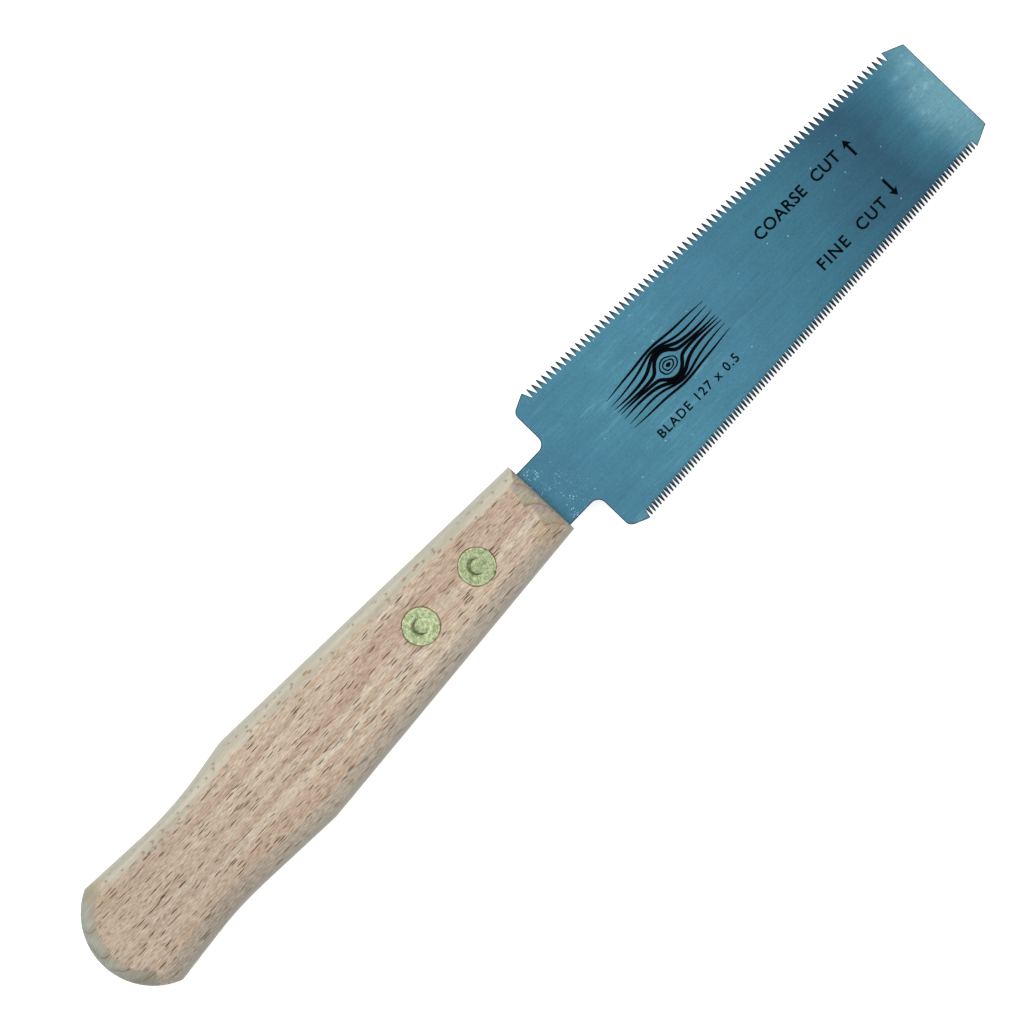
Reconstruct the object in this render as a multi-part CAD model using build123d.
from build123d import *
import math
import os

# A small double-edged Japanese pull saw: a thin steel blade with coarse teeth on one edge and fine
# teeth on the other, its tang held in the sawn slot of a beech handle by two brass rivets.
#
# The saw lies on its side. +X runs along the handle towards the tip of the blade, +Y towards the
# coarse teeth and +Z up, square to the flat of the blade. The origin is on the handle's lower flat
# face, on its centreline and midway between the rivets, which is close to the saw's balance point.

# Driving dimensions, in millimetres and degrees.
INCH = 25.4

HANDLE_LENGTH = 151.2
HANDLE_THICKNESS = 19.0
HANDLE_FRONT_WIDTH = 21.4
BUTT_RADIUS = 17.2
# Each long side has three straights. They meet at the widest point and at the waist, and the last
# one runs out at the butt. Each point is its distance behind the handle's front end, then its
# distance from the centreline. The handle is shaped by hand, so the two sides differ a little.
COARSE_SIDE = ((94.0, 16.15), (112.9, 13.5), (HANDLE_LENGTH, 16.55))
FINE_SIDE = ((88.1, 16.05), (119.0, 13.8), (HANDLE_LENGTH, 16.8))
WIDEST_ROUND = 12.0       # radius in plan of the soft corner at the widest point
WAIST_ROUND = 96.0        # radius in plan of the hollow at the waist
SIDE_ROUND = 5.0          # rounding along the long edges
BUTT_ROUND = 3.4          # rounding of the end-grain edges at the butt
FRONT_ROUND = 3.0         # rounding of the end-grain edges at the front
SLOT_DEPTH = 54.0
SLOT_SAW_RADIUS = 90.0    # the circular saw that cuts the slot leaves its closed end curved

BLADE_LENGTH = 5 * INCH   # from the shoulders to the square end
BLADE_THICKNESS = 0.5
BLADE_LEAN = 0.93         # to the fine side about the rear rivet, as the tang's loose holes allow
NECK_LENGTH = 9.7         # between the handle and the blade's shoulders
NECK_WIDTH = 17.5
TANG_LENGTH = 51.0
TANG_END_ROUND = 3.0
SHOULDER_HALF_WIDTH = 19.05
NECK_ROUND = 2.3          # hollow corner between the neck and the shoulder
SHOULDER_ROUND = 2.1
RUN_IN_ANGLE = 24.0       # plain edge between the shoulder and the first tooth
EDGE_TAPER = 2.545        # each toothed edge closes in towards the tip
EDGE_HALF_WIDTH = 21.72   # of the toothed edges, carried back to the handle's front end
TIP_CHAMFER_ANGLE = 24.0
TIP_CHAMFER_LENGTH = 5.2

# A tooth's steep flank faces the handle, because the saw cuts on the pull.
COARSE_PITCH = INCH / 16
COARSE_DEPTH = 2.3
FINE_PITCH = INCH / 24
FINE_DEPTH = 1.95
# The tip, the sloping back and the gullet of a tooth, as shares of the pitch; the flank has the rest.
COARSE_SHARES = (0.19, 0.65, 0.10)
FINE_SHARES = (0.34, 0.53, 0.07)

FRONT_RIVET_BACK = 22.2   # behind the handle's front end
RIVET_SPACING = 19.3
HEAD_RADIUS = 4.55
HEAD_THICKNESS = 1.4
HEAD_RECESS = 0.1         # the heads sit just below the faces of the handle
HEAD_EDGE_ROUND = 0.3
SHANK_RADIUS = 2.0
SHANK_END_ROUND = 0.25    # the hammered end of the shank is rounded into the washer's countersink
SHANK_END_DOME = 0.1
COUNTERSINK = 0.3
HEAD_GAP = 0.1            # radial, round the heads
SHANK_GAP = 0.05          # radial, in the handle's bores
TANG_HOLE_RADIUS = 2.5

# Places that follow from the driving dimensions.
FRONT_RIVET = RIVET_SPACING / 2
REAR_RIVET = -RIVET_SPACING / 2
HANDLE_FRONT = FRONT_RIVET + FRONT_RIVET_BACK
HANDLE_BUTT = HANDLE_FRONT - HANDLE_LENGTH
MIDDLE = HANDLE_THICKNESS / 2
OVERSIZE = 10.0           # how far cutting shapes run past the wood


def side_edge(points, side):
    """One long side of the handle in plan; side is 1 for the coarse edge and -1 for the fine."""
    plan = [(HANDLE_FRONT, side * HANDLE_FRONT_WIDTH / 2)]
    for back, half_width in points:
        plan.append((HANDLE_FRONT - back, side * half_width))
    return FilletPolyline(*plan, radius=[WIDEST_ROUND, WAIST_ROUND])


def round_long_edges(block):
    """The handle's block with its long edges rounded, top and bottom; its end edges stay square."""
    long_edges = []
    for face in block.faces().filter_by(Axis.Z):
        long_edges += face.edges().sort_by(Axis.X)[1:-1]
    return fillet(long_edges, SIDE_ROUND)


def end_stock():
    """A bar whose front and butt ends are rounded; the handle is what it shares with the block."""
    centre = HANDLE_BUTT + BUTT_RADIUS
    disc = extrude(Pos(centre, 0) * Circle(BUTT_RADIUS), HANDLE_THICKNESS)
    disc = fillet(disc.edges().filter_by(GeomType.CIRCLE), BUTT_ROUND)
    width = 2 * BUTT_RADIUS + OVERSIZE
    bar = Pos(centre, 0, 0) * Box(HANDLE_FRONT - centre, width, HANDLE_THICKNESS,
                                  align=(Align.MIN, Align.CENTER, Align.MIN))
    front_edges = bar.faces().sort_by(Axis.X)[-1].edges().filter_by(Axis.Y)
    return disc + fillet(front_edges, FRONT_ROUND)


def tang_slot():
    """The slot sawn across the whole width of the handle, as thick as the blade."""
    closed_end = HANDLE_FRONT - SLOT_DEPTH
    saw = Pos(closed_end + SLOT_SAW_RADIUS, 0) * Circle(SLOT_SAW_RADIUS)
    cut = Pos(closed_end, 0) * Rectangle(SLOT_DEPTH + OVERSIZE, 2 * BUTT_RADIUS + OVERSIZE,
                                         align=(Align.MIN, Align.CENTER))
    return Pos(0, 0, MIDDLE - BLADE_THICKNESS / 2) * extrude(saw & cut, BLADE_THICKNESS)


def rivet_bore(x):
    """A rivet's bore through the handle, with a seat for a head at each face."""
    seat_depth = HEAD_THICKNESS + HEAD_RECESS
    base = (Align.CENTER, Align.CENTER, Align.MIN)
    bore = Pos(x, 0, 0) * Cylinder(SHANK_RADIUS + SHANK_GAP, HANDLE_THICKNESS, align=base)
    seat = Cylinder(HEAD_RADIUS + HEAD_GAP, seat_depth, align=base)
    return bore + Pos(x, 0, 0) * seat + Pos(x, 0, HANDLE_THICKNESS - seat_depth) * seat


def make_handle():
    coarse_edge = side_edge(COARSE_SIDE, 1)
    fine_edge = side_edge(FINE_SIDE, -1)
    butt = Line(coarse_edge @ 1, fine_edge @ 1)
    front = Line(fine_edge @ 0, coarse_edge @ 0)
    block = extrude(make_face([coarse_edge, butt, fine_edge, front]), HANDLE_THICKNESS)
    handle = round_long_edges(block) & end_stock()
    return handle - tang_slot() - rivet_bore(FRONT_RIVET) - rivet_bore(REAR_RIVET)


def toothed_edge(start, end, nominal_pitch, depth, shares):
    """Points of a toothed edge on the +Y side, from the tip at start to the tip at end."""
    along = (end - start).normalized()
    inward = along.rotate(Axis.Z, -90)
    count = round((end - start).length / nominal_pitch)
    pitch = (end - start).length / count
    tip, back, gullet = (share * pitch for share in shares)
    tooth = ((tip, 0), (tip + back, depth), (tip + back + gullet, depth), (pitch, 0))
    points = [start]
    for i in range(count):
        for step, cut in tooth:
            points.append(start + along * (i * pitch + step) + inward * cut)
    return points


def blade_side(pitch, depth, shares):
    """One side of the blade, tang to tip, on +Y. X is measured from the handle's front end."""
    taper = math.tan(math.radians(EDGE_TAPER))
    rise = math.tan(math.radians(RUN_IN_ANGLE))
    shoulder_gap = EDGE_HALF_WIDTH - taper * NECK_LENGTH - SHOULDER_HALF_WIDTH
    first_tooth = NECK_LENGTH + shoulder_gap / (rise + taper)
    tip = NECK_LENGTH + BLADE_LENGTH
    last_tooth = tip - TIP_CHAMFER_LENGTH
    start = Vector(first_tooth, EDGE_HALF_WIDTH - taper * first_tooth)
    end = Vector(last_tooth, EDGE_HALF_WIDTH - taper * last_tooth)
    tip_half_width = end.Y - TIP_CHAMFER_LENGTH * math.tan(math.radians(TIP_CHAMFER_ANGLE))
    return [
        Vector(-TANG_LENGTH, NECK_WIDTH / 2),
        Vector(NECK_LENGTH, NECK_WIDTH / 2),
        Vector(NECK_LENGTH, SHOULDER_HALF_WIDTH),
        *toothed_edge(start, end, pitch, depth, shares),
        Vector(tip, tip_half_width),
    ]


def corners_at(outline, x, half_width):
    """The outline's corners at a given distance along the blade and either side of its middle."""
    places = [Vector(x, half_width), Vector(x, -half_width)]
    return [corner for corner in outline.vertices()
            if min((Vector(corner) - place).length for place in places) < 0.01]


def make_blade():
    coarse = blade_side(COARSE_PITCH, COARSE_DEPTH, COARSE_SHARES)
    fine = [Vector(point.X, -point.Y) for point in blade_side(FINE_PITCH, FINE_DEPTH, FINE_SHARES)]
    outline = make_face(Polyline(*coarse, *reversed(fine), close=True))
    outline = fillet(corners_at(outline, -TANG_LENGTH, NECK_WIDTH / 2), TANG_END_ROUND)
    outline = fillet(corners_at(outline, NECK_LENGTH, NECK_WIDTH / 2), NECK_ROUND)
    outline = fillet(corners_at(outline, NECK_LENGTH, SHOULDER_HALF_WIDTH), SHOULDER_ROUND)
    rear_rivet_back = FRONT_RIVET_BACK + RIVET_SPACING
    for back in (FRONT_RIVET_BACK, rear_rivet_back):
        outline -= Pos(-back, 0) * Circle(TANG_HOLE_RADIUS)
    blade = Pos(rear_rivet_back, 0, 0) * extrude(outline, BLADE_THICKNESS)
    return Pos(REAR_RIVET, 0, MIDDLE - BLADE_THICKNESS / 2) * Rot(0, 0, -BLADE_LEAN) * blade


def make_rivet(x):
    """A flat-headed rivet: its head is in the lower face and its hammered end in the washer."""
    bottom = HEAD_RECESS
    top = HANDLE_THICKNESS - HEAD_RECESS
    shoulder = top - SHANK_END_DOME - SHANK_END_ROUND
    head_top = bottom + HEAD_THICKNESS
    rim = (HEAD_RADIUS, bottom + HEAD_EDGE_ROUND)
    face_edge = (HEAD_RADIUS - HEAD_EDGE_ROUND, bottom)
    end_edge = (SHANK_RADIUS - SHANK_END_ROUND, top - SHANK_END_DOME)
    profile = make_face([
        Polyline(end_edge, (0, top), (0, bottom), face_edge),
        RadiusArc(face_edge, rim, -HEAD_EDGE_ROUND),
        Polyline(rim, (HEAD_RADIUS, head_top), (SHANK_RADIUS, head_top), (SHANK_RADIUS, shoulder), end_edge),
    ])
    return Pos(x, 0, 0) * revolve(Plane.XZ * profile, Axis.Z)


def make_washer(x):
    """The round washer that the rivet's shank is hammered out in, in the upper face."""
    top = HANDLE_THICKNESS - HEAD_RECESS
    disc = Cylinder(HEAD_RADIUS, HEAD_THICKNESS, align=(Align.CENTER, Align.CENTER, Align.MAX))
    disc = fillet(disc.edges().sort_by(Axis.Z)[-1], HEAD_EDGE_ROUND)
    disc -= Cylinder(SHANK_RADIUS, 2 * HEAD_THICKNESS)
    inner_edge = disc.faces().sort_by(Axis.Z)[-1].edges().sort_by(SortBy.RADIUS)[0]
    return Pos(x, 0, top) * chamfer(inner_edge, COUNTERSINK)


PARTS = {
    "handle": make_handle(),
    "blade": make_blade(),
    "rivet_front": make_rivet(FRONT_RIVET),
    "rivet_rear": make_rivet(REAR_RIVET),
    "rivet_washer_front": make_washer(FRONT_RIVET),
    "rivet_washer_rear": make_washer(REAR_RIVET),
}

os.makedirs("parts", exist_ok=True)
for name, shape in PARTS.items():
    shape.label = name
    export_step(shape, f"parts/{name}.step")
